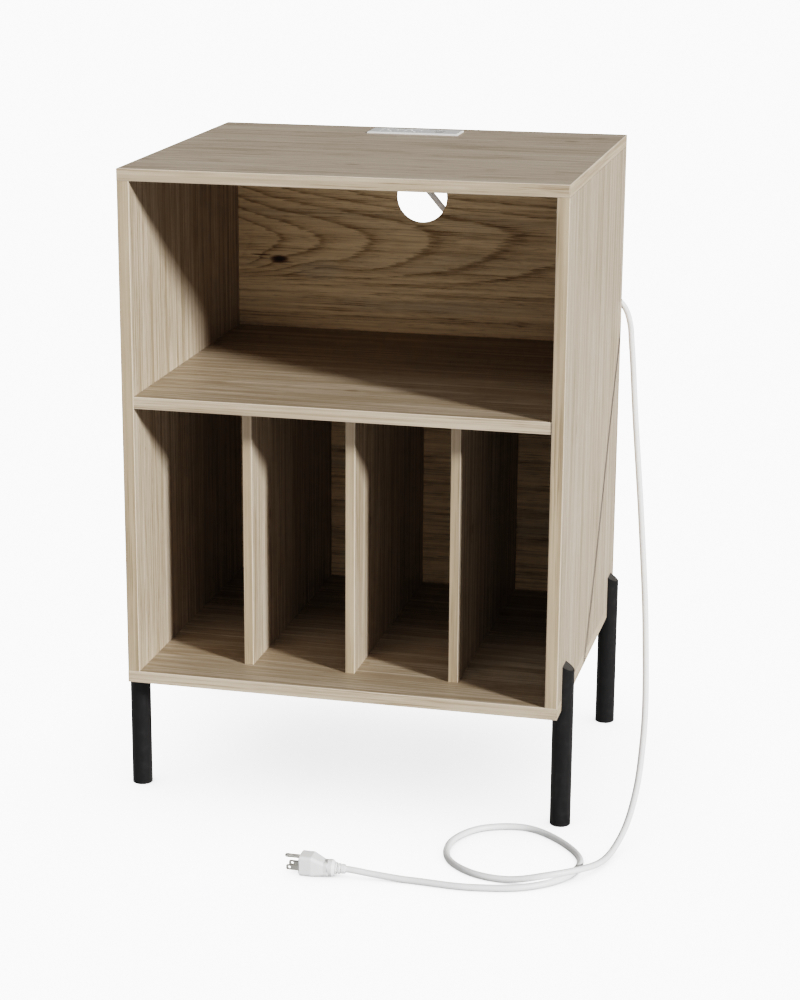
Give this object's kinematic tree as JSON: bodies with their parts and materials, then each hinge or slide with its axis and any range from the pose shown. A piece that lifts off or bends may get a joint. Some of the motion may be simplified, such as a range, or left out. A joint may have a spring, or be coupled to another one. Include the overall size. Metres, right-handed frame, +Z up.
{
  "type": "record storage stand",
  "caption": "Freestanding wooden stand with an open equipment compartment above upright record slots, on tube legs, with a mains and USB unit let into the top.",
  "frame": {"origin": "on the floor under the middle of the cabinet, measured without the cord and its plug", "axes": "+Z up; the open front faces -Y; +X to the right for someone who faces the front"},
  "size_m": [0.6503, 0.6569, 0.7952],
  "materials": {
    "oak_laminate": "satin greige oak laminate",
    "oak_edge_band": "satin greige oak edge band",
    "back_board": "satin brown oak foil on thin fibreboard",
    "beech": "plain turned beech",
    "fitting_steel": "zinc-plated",
    "black_tube": "satin black powder coat",
    "black_plastic": "matt",
    "cover_foil": "printed adhesive disc",
    "white_plastic": "semi-gloss white",
    "carrier_plastic": "matt off-white",
    "contact_brass": "bare rolled brass",
    "circuit_board": "green solder mask",
    "plated_shell": "nickel-plated sheet",
    "white_cord": "soft white sheath",
    "core_insulation": "coloured insulation"
  },
  "bodies": {
    "root": {"top_board": "oak_laminate", "bottom_board": "oak_laminate", "side_board_left": "oak_laminate", "side_board_right": "oak_laminate", "middle_shelf": "oak_laminate", "divider_left": "oak_laminate", "divider_centre": "oak_laminate", "divider_right": "oak_laminate", "top_edge_bands": "oak_edge_band", "bottom_edge_bands": "oak_edge_band", "side_edge_bands": "oak_edge_band", "shelf_edge_band": "oak_edge_band", "divider_edge_bands": "oak_edge_band", "back_board": "back_board", "dowels": "beech", "divider_pegs": "beech", "cam_locks": "fitting_steel", "cam_bolts": "fitting_steel", "side_screws": "fitting_steel", "divider_screws": "fitting_steel", "back_nails": "fitting_steel", "leg_screws": "fitting_steel", "usb_board_screws": "fitting_steel", "housing_screws": "fitting_steel", "mounting_clamps": "fitting_steel", "clamp_screws": "fitting_steel", "leg_front_left": "black_tube", "leg_front_right": "black_tube", "leg_rear_left": "black_tube", "leg_rear_right": "black_tube", "foot_front_left": "black_plastic", "foot_front_right": "black_plastic", "foot_rear_left": "black_plastic", "foot_rear_right": "black_plastic", "cam_covers": "cover_foil", "power_face_plate": "white_plastic", "power_housing": "white_plastic", "socket_insert_left": "white_plastic", "socket_insert_right": "white_plastic", "cord_gland": "white_plastic", "cord_clip": "white_plastic", "plug_body": "white_plastic", "contact_carrier": "carrier_plastic", "usb_tongues": "carrier_plastic", "line_contact_bar": "contact_brass", "neutral_contact_bar": "contact_brass", "ground_contact_bar": "contact_brass", "usb_circuit_board": "circuit_board", "usb_port_shells": "plated_shell", "plug_blades": "plated_shell", "plug_ground_pin": "plated_shell", "power_cord": "white_cord", "core_wires": "core_insulation"}
  },
  "joints": []
}
